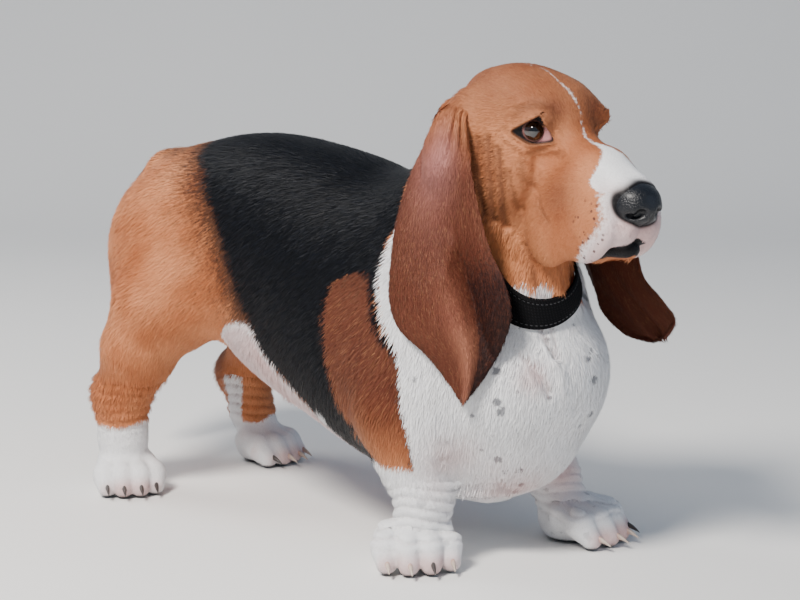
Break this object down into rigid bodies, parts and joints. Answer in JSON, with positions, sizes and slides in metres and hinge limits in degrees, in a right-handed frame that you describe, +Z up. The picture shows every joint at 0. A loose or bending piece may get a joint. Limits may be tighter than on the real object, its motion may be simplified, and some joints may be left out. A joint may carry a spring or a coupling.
{
  "type": "basset hound model",
  "caption": "Life-size still model of a tricolour basset hound standing square, head turned slightly, long ears hanging, wearing a plain band collar.",
  "frame": {"origin": "on the ground under the middle of the model's outline", "axes": "+Z up, the dog faces -Y, its left side is +X"},
  "size_m": [0.3056, 0.8286, 0.505],
  "materials": {
    "coat_black": "short dense coat with a soft sheen",
    "coat_tan": "short dense coat",
    "coat_head": "very short coat",
    "coat_ear": "velvety short coat",
    "coat_white": "short dense coat",
    "lip": "moist dark skin",
    "nose": "moist pebbled skin",
    "eye": "wet and clear",
    "collar": "flat woven webbing",
    "claw": "horn"
  },
  "bodies": {
    "root": {"torso": "coat_black", "neck": "coat_tan", "head": "coat_head", "lower_jaw": "lip", "nose": "nose", "ear_right": "coat_ear", "ear_left": "coat_ear", "eye_right": "eye", "eye_left": "eye", "collar": "collar", "tail": "coat_tan", "fore_leg_right": "coat_tan", "fore_leg_left": "coat_tan", "fore_paw_right": "coat_white", "fore_paw_left": "coat_white", "hind_leg_right": "coat_tan", "hind_leg_left": "coat_tan", "hind_paw_right": "coat_white", "hind_paw_left": "coat_white", "fore_claw_right_1": "claw", "fore_claw_right_2": "claw", "fore_claw_right_3": "claw", "fore_claw_right_4": "claw", "fore_claw_left_1": "claw", "fore_claw_left_2": "claw", "fore_claw_left_3": "claw", "fore_claw_left_4": "claw", "hind_claw_right_1": "claw", "hind_claw_right_2": "claw", "hind_claw_right_3": "claw", "hind_claw_right_4": "claw", "hind_claw_left_1": "claw", "hind_claw_left_2": "claw", "hind_claw_left_3": "claw", "hind_claw_left_4": "claw"}
  },
  "joints": []
}
